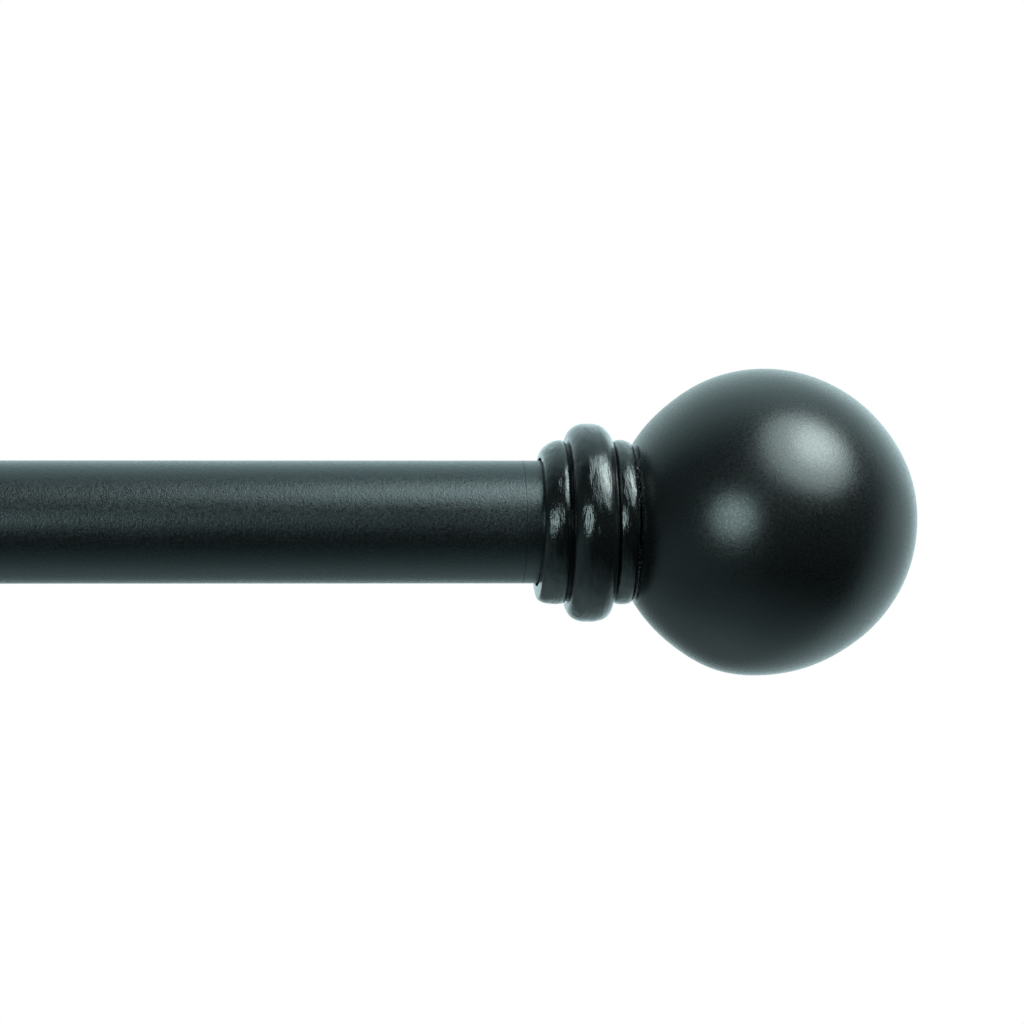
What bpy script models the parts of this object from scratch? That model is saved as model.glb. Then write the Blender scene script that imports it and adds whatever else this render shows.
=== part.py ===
"""Adjustable decorative curtain rod with ball finials and two wall brackets.

Frame: X along the rod (+X is the fixed, large-tube end), +Y into the wall, +Z up.
The origin is on the wall plane, midway between the brackets, level with the rod's axis.
Run it with  blender --background --python part.py  or from the text editor.
"""

import math

import bmesh
import bpy
from mathutils import Matrix, Vector

MM = 0.001

# ---------------------------------------------------------------- rod
ROD_PROJECTION = 76.2          # wall plane to rod axis, 3 in, middle of its adjustment
COLLAR_FACE_X = 355.6          # each finial's collar face from the middle: 28 in collapsed
OUTER_R, OUTER_BORE_R = 8.0, 7.5
OUTER_END_X = 352.95           # right-hand end of the outer tube
OUTER_MOUTH_X = -305.0         # its open mouth, where the inner tube comes out
MOUTH_R = 6.85                 # the mouth is rolled in to this bore
INNER_R, INNER_BORE_R = 6.5, 6.05
INNER_END_X = -352.95
INNER_TAIL_X = 300.0           # hidden end of the inner tube, inside the outer tube
GAP = 0.3                      # between pieces that touch

# ---------------------------------------------------------------- finial, along its own axis from the collar's face
BALL_R = 20.0
BALL_CENTRE = 29.3
COLLAR_LENGTH = 12.1
SOCKET_R, SOCKET_DEPTH = 8.35, 3.6
STUD_R, STUD_HOLE_R = 3.0, 3.2          # M6 x 1.0
STUD_FROM, STUD_TO = -4.5, 26.5
BEAD_1_END = 3.3
BEAD_2_CENTRE, BEAD_2_HALF = 6.35, 2.93
BEAD_2_ROOT, BEAD_2_RISE = 11.05, 1.94
BEAD_3_START = 9.4
GROOVE_R = 10.2

# ---------------------------------------------------------------- end plugs and glide
FLANGE_R = 8.0                 # both plugs carry the same flange, so both ends take the same finial
FLANGE_FROM, FLANGE_TO = -2.4, 3.3
PLUG_DEPTH = 20.0
GLIDE_R, GLIDE_LENGTH, GLIDE_SPIGOT = 7.3, 8.0, 14.0

# ---------------------------------------------------------------- brackets
BRACKET_X = 254.0              # each bracket from the middle
PLATE_W, PLATE_H, PLATE_T = 20.0, 64.0, 1.6
PLATE_MID_Z = 4.0
SCREW_PITCH = 46.0             # between the two wall screws
SCREW_HOLE_R = 2.4
ARM_W, ARM_T = 12.0, 2.0
ARM_Z = 4.0                    # middle of the flat strip
ARM_BACK_Y = -15.0
CUP_R = 8.3                    # inside of the cradle
LIP_TOP_Z = 6.6
BEND_R = 2.5
CHANNEL_FRONT_Y = -40.0
CHANNEL_T = 1.6
CHANNEL_TOP_Z = 9.5
CLAMP_Y = -33.2
SLOT_LENGTH, SLOT_R = 30.0, 2.2
THUMB_Z = 1.0
BUSH_HOLE_R = 3.1
ANCHOR_SETBACK = 2.3           # the anchors sit just below the wall's surface


def clear_scene():
    for obj in list(bpy.data.objects):
        bpy.data.objects.remove(obj, do_unlink=True)


clear_scene()

model = bpy.data.collections.new("curtain_rod")
helpers = bpy.data.collections.new("cutters")
for group in (model, helpers):
    bpy.context.scene.collection.children.link(group)


# ---------------------------------------------------------------- materials
def material(name, colour, roughness, metallic):
    mat = bpy.data.materials.new(name)
    mat.use_nodes = True
    shader = mat.node_tree.nodes["Principled BSDF"]
    shader.inputs["Base Color"].default_value = (*colour, 1.0)
    shader.inputs["Roughness"].default_value = roughness
    shader.inputs["Metallic"].default_value = metallic
    mat.diffuse_color = (*colour, 1.0)
    return mat


def finish(name, colour, roughness, metallic=0.0):
    """One material for each part, so that a part can be repainted by itself."""
    return lambda part: material(f"{part}_{name}", colour, roughness, metallic)


TUBE_PAINT = finish("satin_black_paint", (0.016, 0.020, 0.021), 0.45)
RESIN_PAINT = finish("satin_black_lacquer", (0.013, 0.017, 0.018), 0.38)
BRACKET_PAINT = finish("black_powder_coat", (0.016, 0.018, 0.019), 0.5)
BLACK_PLASTIC = finish("black_plastic", (0.018, 0.018, 0.018), 0.45)
WHITE_PLASTIC = finish("natural_nylon", (0.72, 0.71, 0.67), 0.5)
GREY_PLASTIC = finish("grey_plastic", (0.32, 0.33, 0.34), 0.55)
ZINC = finish("zinc_plate", (0.62, 0.63, 0.64), 0.3, 1.0)
BLACK_STEEL = finish("blackened_steel", (0.03, 0.03, 0.032), 0.35, 0.6)


# ---------------------------------------------------------------- modelling helpers
def add(name, mesh, paint, parent=None, location=(0, 0, 0), rotation=(0, 0, 0)):
    """Places a mesh as a named part. Locations are in millimetres, in the parent's frame."""
    obj = bpy.data.objects.new(name, mesh)
    model.objects.link(obj)
    obj.parent = parent
    obj.location = Vector(location) * MM
    obj.rotation_euler = rotation
    if mesh.materials:
        # a mesh shared by two parts keeps one slot, and each part puts its own paint in it
        obj.material_slots[0].link = "OBJECT"
        obj.material_slots[0].material = paint(name)
    else:
        mesh.materials.append(paint(name))
    return obj


def empty(name, location, rotation=(0, 0, 0), parent=None):
    obj = bpy.data.objects.new(name, None)
    obj.empty_display_size = 0.02
    model.objects.link(obj)
    obj.location = Vector(location) * MM
    obj.rotation_euler = rotation
    obj.parent = parent
    return obj


def smooth(mesh, angle=35):
    mesh.shade_smooth()
    mesh.set_sharp_from_angle(angle=math.radians(angle))


def evaluated_mesh(obj, name):
    """The object's mesh with its modifiers applied and its seams welded. The object is removed."""
    bpy.context.view_layer.update()
    graph = bpy.context.evaluated_depsgraph_get()
    mesh = bpy.data.meshes.new_from_object(obj.evaluated_get(graph))
    mesh.name = name
    bm = bmesh.new()
    bm.from_mesh(mesh)
    bmesh.ops.remove_doubles(bm, verts=bm.verts, dist=1e-6)
    bmesh.ops.recalc_face_normals(bm, faces=bm.faces)
    bm.to_mesh(mesh)
    bm.free()
    bpy.data.objects.remove(obj, do_unlink=True)
    return mesh


def turned(name, profile, steps, closed):
    """A turned shape about its local Z axis. profile lists (radius, height) in millimetres, down the outer side.
    closed joins the last point to the first, for a piece with a hole through it."""
    mesh = bpy.data.meshes.new(name)
    points = [(r * MM, 0.0, z * MM) for r, z in profile]
    edges = [(i, i + 1) for i in range(len(points) - 1)]
    if closed:
        edges.append((len(points) - 1, 0))
    mesh.from_pydata(points, edges, [])
    obj = bpy.data.objects.new(name, mesh)
    bpy.context.scene.collection.objects.link(obj)
    screw = obj.modifiers.new("turn", "SCREW")
    screw.axis = "Z"
    screw.angle = math.tau
    screw.steps = screw.render_steps = steps
    screw.use_merge_vertices = True
    screw.merge_threshold = 1e-6
    screw.use_smooth_shade = True
    made = evaluated_mesh(obj, name)
    smooth(made)
    return made


def prism(name, outlines, depth):
    """A flat outline in the local XY plane, extruded by depth about it along Z. Further outlines are holes."""
    curve = bpy.data.curves.new(name, "CURVE")
    curve.dimensions = "2D"
    curve.fill_mode = "BOTH"
    curve.extrude = depth * MM / 2
    for outline in outlines:
        spline = curve.splines.new("POLY")
        spline.points.add(len(outline) - 1)
        for point, (x, y) in zip(spline.points, outline):
            point.co = (x * MM, y * MM, 0.0, 1.0)
        spline.use_cyclic_u = True
    obj = bpy.data.objects.new(name, curve)
    bpy.context.scene.collection.objects.link(obj)
    made = evaluated_mesh(obj, name)
    bpy.data.curves.remove(curve)
    return made


def arc(cx, cy, radius, start, end, count):
    """count + 1 points on an arc, angles in degrees."""
    return [
        (
            cx + radius * math.cos(math.radians(start + (end - start) * i / count)),
            cy + radius * math.sin(math.radians(start + (end - start) * i / count)),
        )
        for i in range(count + 1)
    ]


def stadium(length, radius, count=6, centre=(0.0, 0.0), upright=False):
    """A slot outline: overall length, end radius."""
    half = length / 2 - radius
    ends = arc(half, 0, radius, -90, 90, count) + arc(-half, 0, radius, 90, 270, count)
    if upright:
        ends = [(-y, x) for x, y in ends]
    return [(x + centre[0], y + centre[1]) for x, y in ends]


def circle(radius, count, centre=(0.0, 0.0), phase=0.0):
    return [
        (
            centre[0] + radius * math.cos(math.tau * (i + phase) / count),
            centre[1] + radius * math.sin(math.tau * (i + phase) / count),
        )
        for i in range(count)
    ]


def cutter(name, mesh, location=(0, 0, 0), rotation=(0, 0, 0)):
    obj = bpy.data.objects.new(name, mesh)
    helpers.objects.link(obj)
    obj.location = Vector(location) * MM
    obj.rotation_euler = rotation
    obj.hide_render = True
    obj.display_type = "WIRE"
    return obj


def cylinder_mesh(name, radius, depth, vertices=16):
    mesh = bpy.data.meshes.new(name)
    bm = bmesh.new()
    bmesh.ops.create_cone(
        bm, cap_ends=True, segments=vertices, radius1=radius * MM, radius2=radius * MM, depth=depth * MM
    )
    bm.to_mesh(mesh)
    bm.free()
    return mesh


def box_mesh(name, size):
    mesh = bpy.data.meshes.new(name)
    bm = bmesh.new()
    bmesh.ops.create_cube(bm, size=1.0, matrix=Matrix.Diagonal((*[s * MM for s in size], 1.0)))
    bm.to_mesh(mesh)
    bm.free()
    return mesh


def worked(name, mesh, steps):
    """The mesh after Boolean steps, each ("DIFFERENCE" or "UNION", mesh, location, rotation), in the mesh's own frame."""
    obj = bpy.data.objects.new(name, mesh)
    bpy.context.scene.collection.objects.link(obj)
    used = []
    for i, (operation, tool, location, rotation) in enumerate(steps):
        used.append(cutter(f"{name}_tool_{i}", tool, location, rotation))
        boolean = obj.modifiers.new(f"step_{i}", "BOOLEAN")
        boolean.operation = operation
        boolean.object = used[-1]
    made = evaluated_mesh(obj, name)
    for tool in used:
        bpy.data.objects.remove(tool, do_unlink=True)
    smooth(made)
    return made


RIGHT, LEFT = (0, math.pi / 2, 0), (0, -math.pi / 2, 0)   # local +Z to world +X or -X


# ---------------------------------------------------------------- finial meshes, shared by both ends
def collar_profile():
    """Down the outer side: the small bead by the ball, the large middle bead, the bead by the rod, then the socket and the stud hole."""
    outer = [(GROOVE_R - 0.1, COLLAR_LENGTH)]
    half = (COLLAR_LENGTH - 0.1 - BEAD_3_START) / 2
    for i in range(6):                                  # small bead by the ball
        t = 1 - 2 * (i + 0.5) / 6
        outer.append((GROOVE_R + 0.5 * math.sqrt(1 - t * t), BEAD_3_START + half + half * t))
    outer.append((GROOVE_R, BEAD_3_START - 0.05))
    for i in range(10):                                 # large bead: a flattened half round on steep sides
        t = math.cos(math.pi * i / 9)
        outer.append(
            (BEAD_2_ROOT + BEAD_2_RISE * math.sqrt(max(0.0, 1 - t * t)), BEAD_2_CENTRE + BEAD_2_HALF * t)
        )
    outer.append((GROOVE_R, BEAD_1_END + 0.08))
    outer.append((10.66, BEAD_1_END - 0.2))
    for i in range(5):                                  # bead by the rod: a quarter round that ends in the flat face
        a = math.radians(90 * i / 4)
        outer.append((9.62 + 1.09 * math.cos(a), 2.35 * (1 - math.sin(a))))
    inner = [
        (SOCKET_R, 0.0),
        (SOCKET_R, SOCKET_DEPTH),
        (STUD_HOLE_R, SOCKET_DEPTH),
        (STUD_HOLE_R, COLLAR_LENGTH),
    ]
    return outer + inner


def ball_profile():
    """From the outer pole round to the seat against the collar, then up the blind stud hole."""
    seat = COLLAR_LENGTH + 0.25
    last = math.asin((seat - BALL_CENTRE) / BALL_R)
    rows = 15
    outer = [
        (
            BALL_R * math.cos(math.pi / 2 + (last - math.pi / 2) * i / rows) if i else 0.0,
            BALL_CENTRE + BALL_R * math.sin(math.pi / 2 + (last - math.pi / 2) * i / rows),
        )
        for i in range(rows + 1)
    ]
    return outer + [(STUD_HOLE_R, seat), (STUD_HOLE_R, STUD_TO + 0.4), (0.0, STUD_TO + 1.4)]


def stud_profile():
    return [
        (0.0, STUD_TO),
        (STUD_R - 0.6, STUD_TO),
        (STUD_R, STUD_TO - 0.6),
        (STUD_R, STUD_FROM + 0.6),
        (STUD_R - 0.6, STUD_FROM),
        (0.0, STUD_FROM),
    ]


def plug_profile(bore):
    """Flush flange with the finial's thread through it, and a spigot that presses into a tube of this bore."""
    spigot = bore - 0.22
    tail = FLANGE_FROM - PLUG_DEPTH
    return [
        (FLANGE_R - 0.4, FLANGE_TO),
        (FLANGE_R, FLANGE_TO - 0.4),
        (FLANGE_R, FLANGE_FROM + 0.1),
        (FLANGE_R - 0.1, FLANGE_FROM),
        (spigot, FLANGE_FROM),
        (spigot, tail + 1.2),
        (spigot - 0.6, tail),
        (STUD_HOLE_R, tail),
        (STUD_HOLE_R, FLANGE_TO),
    ]


collar_mesh = turned("finial_collar", collar_profile(), 32, closed=True)
ball_mesh = turned("finial_ball", ball_profile(), 32, closed=False)
stud_mesh = turned("finial_stud", stud_profile(), 20, closed=False)

# ---------------------------------------------------------------- rod
AXIS = (0.0, -ROD_PROJECTION, 0.0)
rod_axis = empty("rod_axis", AXIS)

outer_length = OUTER_END_X - OUTER_MOUTH_X
outer_profile = (
    [(OUTER_R, outer_length), (OUTER_R, 4.0)]
    + [(OUTER_R - 0.7 * (1 - math.cos(math.radians(a))), 4.0 - 4.0 * math.sin(math.radians(a))) for a in (30, 60, 90)]
    + [(MOUTH_R, 0.0), (MOUTH_R, 3.0), (OUTER_BORE_R, 5.5), (OUTER_BORE_R, outer_length)]
)
add(
    "outer_tube",
    turned("outer_tube", outer_profile, 32, closed=True),
    TUBE_PAINT,
    rod_axis,
    (OUTER_MOUTH_X, 0, 0),
    RIGHT,
)

inner_length = INNER_TAIL_X - INNER_END_X
add(
    "inner_tube",
    turned(
        "inner_tube",
        [(INNER_R, inner_length), (INNER_R, 0.0), (INNER_BORE_R, 0.0), (INNER_BORE_R, inner_length)],
        32,
        closed=True,
    ),
    TUBE_PAINT,
    rod_axis,
    (INNER_END_X, 0, 0),
    RIGHT,
)

# The glide rides on the hidden end of the inner tube and keeps the two tubes in line.
glide_spigot = INNER_BORE_R - 0.22
glide_profile = [
    (GLIDE_R - 0.5, GAP + GLIDE_LENGTH),
    (GLIDE_R, GAP + GLIDE_LENGTH - 0.8),
    (GLIDE_R, GAP + 0.5),
    (GLIDE_R - 0.5, GAP),
    (glide_spigot, GAP),
    (glide_spigot, -GLIDE_SPIGOT + 1.0),
    (glide_spigot - 0.6, -GLIDE_SPIGOT),
    (3.8, -GLIDE_SPIGOT),
    (3.8, GAP + GLIDE_LENGTH),
]
add(
    "inner_tube_glide",
    turned("inner_tube_glide", glide_profile, 24, closed=True),
    WHITE_PLASTIC,
    rod_axis,
    (INNER_TAIL_X, 0, 0),
    RIGHT,
)

for side, turn, sign, tube, bore in (
    ("right", RIGHT, 1, "outer", OUTER_BORE_R),
    ("left", LEFT, -1, "inner", INNER_BORE_R),
):
    finial = empty(f"{side}_finial_axis", (sign * COLLAR_FACE_X, 0, 0), turn, rod_axis)
    add(
        f"{tube}_tube_end_plug",
        turned(f"{tube}_tube_end_plug", plug_profile(bore), 32, closed=True),
        BLACK_PLASTIC,
        finial,
    )
    add(f"{side}_finial_stud", stud_mesh, ZINC, finial)
    add(f"{side}_finial_collar", collar_mesh, RESIN_PAINT, finial)
    add(f"{side}_finial_ball", ball_mesh, RESIN_PAINT, finial)


# ---------------------------------------------------------------- bracket arm: a flat strip that dips into a cradle
def offset_outline(path, thickness):
    """The outline of a strip of this thickness that follows the path."""
    sides = ([], [])
    for i, p in enumerate(path):
        before = Vector(path[max(i - 1, 0)])
        after = Vector(path[min(i + 1, len(path) - 1)])
        along = (after - before).normalized()
        normal = Vector((-along.y, along.x)) * thickness / 2
        sides[0].append(tuple(Vector(p) + normal))
        sides[1].append(tuple(Vector(p) - normal))
    return sides[0] + sides[1][::-1]


def arm_path():
    """(y, z) down the middle of the strip, from its hidden end to the top of the front lip."""
    middle = CUP_R + ARM_T / 2
    y0 = -ROD_PROJECTION
    back = y0 + middle
    path = [(ARM_BACK_Y, ARM_Z)]
    path += arc(back + BEND_R, ARM_Z - BEND_R, BEND_R, 90, 180, 5)
    path += arc(y0, 0.0, middle, 0, -180, 18)
    path += [(y0 - middle, LIP_TOP_Z)]
    return path


SIDEWAYS = (math.pi / 2, 0, math.pi / 2)      # local X to world Y, local Y to world Z, local Z to world X
UPRIGHT = (math.pi / 2, 0, 0)                 # local Y to world Z, local Z to world -Y
FROM_FRONT = (math.pi / 2, 0, 0)              # local +Z to world -Y, so a head faces the room
LIP_OUT_Y = -ROD_PROJECTION - CUP_R - ARM_T

# In the strip's own frame X is the world's Y and Y is the world's Z.
slot_tool = prism("slot_tool", [stadium(SLOT_LENGTH, SLOT_R)], 12.0)
arm_mesh = worked(
    "bracket_arm",
    prism("bracket_arm_blank", [offset_outline(arm_path(), ARM_T)], ARM_W),
    [
        # the slot runs along the strip; it is cut straight down through it
        ("DIFFERENCE", slot_tool, (CLAMP_Y, ARM_Z, 0), (math.pi / 2, 0, 0)),
        # the hole for the threaded bush goes through the front lip
        ("DIFFERENCE", cylinder_mesh("bush_tool", BUSH_HOLE_R, 8.0), (LIP_OUT_Y + 1.0, THUMB_Z, 0), (0, math.pi / 2, 0)),
    ],
)

# ---------------------------------------------------------------- wall plate with its folded channel
half_width = ARM_W / 2 + GAP
floor_top = ARM_Z - ARM_T / 2 - GAP
outer_half = half_width + CHANNEL_T
channel_outline = [
    (-outer_half, CHANNEL_TOP_Z - 1.2),
    (-outer_half, floor_top - CHANNEL_T + 1.0),
    (-outer_half + 1.0, floor_top - CHANNEL_T),
    (outer_half - 1.0, floor_top - CHANNEL_T),
    (outer_half, floor_top - CHANNEL_T + 1.0),
    (outer_half, CHANNEL_TOP_Z - 1.2),
    (outer_half - 0.3, CHANNEL_TOP_Z),
    (half_width, CHANNEL_TOP_Z),
    (half_width, floor_top),
    (-half_width, floor_top),
    (-half_width, CHANNEL_TOP_Z),
    (-outer_half + 0.3, CHANNEL_TOP_Z),
]
channel_depth = -CHANNEL_FRONT_Y - PLATE_T / 2
# In the plate's own frame Y is the world's Z and Z is the world's -Y; the plate lies about Z = PLATE_T / 2.
plate_mesh = worked(
    "wall_plate",
    prism(
        "wall_plate_blank",
        [
            stadium(PLATE_H, PLATE_W / 2, 8, (0, PLATE_MID_Z), upright=True),
            circle(SCREW_HOLE_R, 16, (0, PLATE_MID_Z + SCREW_PITCH / 2)),
            circle(SCREW_HOLE_R, 16, (0, PLATE_MID_Z - SCREW_PITCH / 2)),
        ],
        PLATE_T,
    ),
    [
        ("UNION", prism("channel", [channel_outline], channel_depth), (0, 0, channel_depth / 2), (0, 0, 0)),
        (
            "DIFFERENCE",
            cylinder_mesh("clamp_tool", SLOT_R, 6.0),
            (0, floor_top - CHANNEL_T / 2, -CLAMP_Y - PLATE_T / 2),
            (math.pi / 2, 0, 0),
        ),
    ],
)


# ---------------------------------------------------------------- fasteners
def pan_head(name, head_r, head_h, shank_r, length, tip, steps):
    """A screw with its head's underside at height 0 and its shank down -Z, with a cross recess in the head."""
    profile = [(0.0, head_h)]
    profile += [(head_r * math.sin(math.radians(a)), head_h * 0.35 + head_h * 0.65 * math.cos(math.radians(a))) for a in (35, 65, 90)]
    profile += [(head_r, 0.0), (shank_r, 0.0), (shank_r, -length + tip), (0.0 if tip > 2 else shank_r * 0.7, -length)]
    if tip <= 2:
        profile.append((0.0, -length))
    blank = turned(f"{name}_blank", profile, steps, closed=False)
    arm = head_r * 1.15
    depth = head_h * 0.95
    return worked(
        name,
        blank,
        [
            ("DIFFERENCE", box_mesh(f"{name}_recess_a", (arm, head_r * 0.24, depth)), (0, 0, head_h), (0, 0, 0)),
            ("DIFFERENCE", box_mesh(f"{name}_recess_b", (head_r * 0.24, arm, depth)), (0, 0, head_h), (0, 0, 0)),
        ],
    )


wall_screw_mesh = pan_head("wall_screw", 4.0, 2.4, 2.0, 30.0, 5.0, 16)
clamp_screw_mesh = pan_head("clamp_screw", 3.9, 2.4, 2.0, 9.4, 0.6, 16)
clamp_nut_mesh = prism("clamp_nut", [circle(4.04, 6), circle(2.2, 16)], 3.2)

# A ribbed plastic plug that the wall screw opens in its hole. Height 0 is its front.
anchor_profile = [(4.1, 0.0), (4.1, -1.0), (3.3, -1.4)]
for rib in range(5):
    z = -4.0 - 4.0 * rib
    anchor_profile += [(3.3, z), (2.95, z - 0.5)]
anchor_profile += [(2.7, -25.5), (2.25, -25.5), (2.25, 0.0)]
wall_anchor_mesh = turned("wall_anchor", anchor_profile, 16, closed=True)

# Thumbscrew: a threaded bush riveted in the lip, an M4 shank, and a knurled head pressed on the shank.
bush_mesh = turned(
    "thumbscrew_bush",
    [(3.3, 2.7), (3.7, 2.3), (3.7, GAP), (2.85, GAP), (2.85, -1.6), (2.2, -1.6), (2.2, 2.7)],
    20,
    closed=True,
)
shank_mesh = turned(
    "thumbscrew_shank",
    [(0.0, 10.0), (2.0, 10.0), (2.0, -1.4), (1.5, -2.0), (0.0, -2.0)],
    16,
    closed=False,
)
knurls = 22
knurl_outline = [
    (
        (5.6 if i % 2 else 5.2) * math.cos(math.tau * i / (2 * knurls)),
        (5.6 if i % 2 else 5.2) * math.sin(math.tau * i / (2 * knurls)),
    )
    for i in range(2 * knurls)
]
head_mesh = prism("thumbscrew_head", [knurl_outline, circle(2.2, 16)], 4.8)

for side, sign in (("right", 1), ("left", -1)):
    bracket = empty(f"{side}_bracket", (sign * BRACKET_X, 0, 0))
    add(f"{side}_wall_plate", plate_mesh, BRACKET_PAINT, bracket, (0, -PLATE_T / 2, 0), UPRIGHT)
    add(f"{side}_bracket_arm", arm_mesh, BRACKET_PAINT, bracket, (0, 0, 0), SIDEWAYS)
    for place, z in (("upper", PLATE_MID_Z + SCREW_PITCH / 2), ("lower", PLATE_MID_Z - SCREW_PITCH / 2)):
        add(f"{side}_wall_screw_{place}", wall_screw_mesh, BLACK_STEEL, bracket, (0, -PLATE_T - GAP, z), FROM_FRONT)
        add(f"{side}_wall_anchor_{place}", wall_anchor_mesh, GREY_PLASTIC, bracket, (0, ANCHOR_SETBACK, z), FROM_FRONT)
    add(f"{side}_clamp_screw", clamp_screw_mesh, BLACK_STEEL, bracket, (0, CLAMP_Y, ARM_Z + ARM_T / 2 + GAP))
    add(f"{side}_clamp_nut", clamp_nut_mesh, BLACK_STEEL, bracket, (0, CLAMP_Y, floor_top - CHANNEL_T - GAP - 1.6))
    thumb = empty(f"{side}_thumbscrew_axis", (0, LIP_OUT_Y, THUMB_Z), FROM_FRONT, bracket)
    add(f"{side}_thumbscrew_bush", bush_mesh, BLACK_STEEL, thumb)
    add(f"{side}_thumbscrew_shank", shank_mesh, ZINC, thumb)
    add(f"{side}_thumbscrew_head", head_mesh, BLACK_STEEL, thumb, (0, 0, 7.6))
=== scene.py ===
"""Looks for the adjustable curtain rod: fine meshes and painted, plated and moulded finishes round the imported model."""

import math

import bmesh
import bpy
import numpy as np
from mathutils import Matrix, Vector, noise


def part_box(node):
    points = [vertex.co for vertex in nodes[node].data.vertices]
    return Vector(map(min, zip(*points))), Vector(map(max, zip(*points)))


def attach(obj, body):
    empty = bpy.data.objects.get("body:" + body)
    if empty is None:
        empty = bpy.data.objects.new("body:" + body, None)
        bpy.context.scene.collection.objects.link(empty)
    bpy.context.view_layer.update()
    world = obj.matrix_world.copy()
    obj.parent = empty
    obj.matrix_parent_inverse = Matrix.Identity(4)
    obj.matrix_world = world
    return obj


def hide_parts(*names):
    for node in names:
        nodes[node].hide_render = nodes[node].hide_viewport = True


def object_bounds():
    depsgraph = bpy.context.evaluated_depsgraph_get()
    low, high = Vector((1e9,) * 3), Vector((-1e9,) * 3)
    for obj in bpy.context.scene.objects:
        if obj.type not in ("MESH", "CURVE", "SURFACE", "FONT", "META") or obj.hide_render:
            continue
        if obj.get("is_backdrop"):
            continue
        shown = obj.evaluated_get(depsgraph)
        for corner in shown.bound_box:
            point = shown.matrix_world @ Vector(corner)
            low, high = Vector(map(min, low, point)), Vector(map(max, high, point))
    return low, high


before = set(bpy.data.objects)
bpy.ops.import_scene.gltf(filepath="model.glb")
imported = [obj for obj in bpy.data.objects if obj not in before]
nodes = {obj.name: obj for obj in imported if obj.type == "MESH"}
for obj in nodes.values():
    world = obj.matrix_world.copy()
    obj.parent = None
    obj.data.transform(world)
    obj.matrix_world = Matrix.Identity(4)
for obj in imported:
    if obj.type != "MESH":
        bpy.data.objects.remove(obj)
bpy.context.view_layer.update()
scene = bpy.context.scene

MM = 0.001


# ================================================================ camera, lights, floor
def centre_of(node):
    low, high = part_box(node)
    return (low + high) / 2


tube_low, tube_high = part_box("outer_tube")
AXIS_Y = (tube_low.y + tube_high.y) / 2
AXIS_Z = (tube_low.z + tube_high.z) / 2
BALL_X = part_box("right_finial_ball")[1].x - 0.020      # its centre: the pole less the radius
COLLAR_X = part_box("right_finial_collar")[0].x
LEFT_COLLAR_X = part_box("left_finial_collar")[1].x
JOINT_X = COLLAR_X + 0.0121                             # where collar and ball meet

CAMERA_AZIMUTH = math.radians(-5.5)
LENS = 500.0
FRAME_WIDTH = 0.1335                                    # metres across the frame at the ball
camera_data = bpy.data.cameras.new("camera")
camera = bpy.data.objects.new("camera", camera_data)
scene.collection.objects.link(camera)
camera_data.lens = LENS
camera_data.sensor_width = 36.0
camera_data.clip_start = 0.05
camera_data.clip_end = 50.0
back = Vector((math.sin(CAMERA_AZIMUTH), -math.cos(CAMERA_AZIMUTH), 0.0))
right = Vector((math.cos(CAMERA_AZIMUTH), math.sin(CAMERA_AZIMUTH), 0.0))
ball_centre = Vector((BALL_X, AXIS_Y, AXIS_Z))
# the ball sits right of the middle of the frame and a little under it
aim = ball_centre - right * (0.03282) + Vector((0, 0, 0.00130))
camera.location = aim + back * (LENS / 36.0 * FRAME_WIDTH)
camera.rotation_euler = back.to_track_quat("Z", "Y").to_euler()
scene.camera = camera

scene.view_settings.view_transform = "Standard"
scene.view_settings.look = "None"
scene.view_settings.exposure = 0.0
scene.view_settings.gamma = 1.0


def area_light(name, target, direction, distance, size, power, colour=(1, 1, 1), size_y=None):
    """A soft panel seen from the target in the given direction."""
    data = bpy.data.lights.new(name, "AREA")
    data.shape = "RECTANGLE" if size_y else "DISK"
    data.size = size
    if size_y:
        data.size_y = size_y
    data.energy = power
    data.color = colour
    lamp = bpy.data.objects.new(name, data)
    scene.collection.objects.link(lamp)
    d = Vector(direction).normalized()
    lamp.location = Vector(target) + d * distance
    lamp.rotation_euler = d.to_track_quat("Z", "Y").to_euler()
    return lamp


def mirror_direction(across, up):
    """The direction of a light whose highlight on the ball is at this place, in ball radii from its centre as the camera sees it."""
    out = math.sqrt(max(0.0, 1 - across * across - up * up))
    normal = right * across + Vector((0, 0, up)) + back * out
    return normal * (2 * normal.dot(back)) - back


# one soft key above and to the right, close enough to fall off along the rod, and a weaker one low on the left
key = area_light("key", ball_centre, mirror_direction(0.280, 0.452), 0.30, 0.335, 1.38, (0.90, 1.0, 1.0))
key_core = area_light("key_core", ball_centre, mirror_direction(0.320, 0.475), 0.31, 0.16, 0.52, (0.97, 1.0, 0.985))
fill = area_light("front_fill", ball_centre, mirror_direction(-0.195, 0.035), 0.62, 0.30, 1.42, (0.84, 1.0, 1.0))
for lamp in (key, key_core, fill):
    lamp.visible_camera = False

# the room: bright behind, overhead and to the right, dim below and on the left, dark in front; the camera sees plain white
LOBES = (
    ((0, 0.707, 0.707), 0.3, 0.98),
    ((0, 0.95, 0.312), 0.6, 0.30),
    ((0.70, 0.70, -0.14), 0.52, 0.84),
    ((0, 0.707, -0.707), 0.40, 0.33),
    ((0, 0, -1), 0.65, 0.22),
    ((-0.70, -0.10, -0.707), 0.5, 0.20),
    ((-1, 0, 0), 0.4, 0.09),
)
world = bpy.data.worlds.new("studio")
scene.world = world
world.use_nodes = True
wt = world.node_tree
wt.nodes.clear()
out = wt.nodes.new("ShaderNodeOutputWorld")
mix = wt.nodes.new("ShaderNodeMixShader")
seen = wt.nodes.new("ShaderNodeBackground")
seen.inputs["Color"].default_value = (1, 1, 1, 1)
seen.inputs["Strength"].default_value = 1.0
lit = wt.nodes.new("ShaderNodeBackground")
lit.inputs["Color"].default_value = (0.815, 1.07, 1.105, 1)
path = wt.nodes.new("ShaderNodeLightPath")
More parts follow.
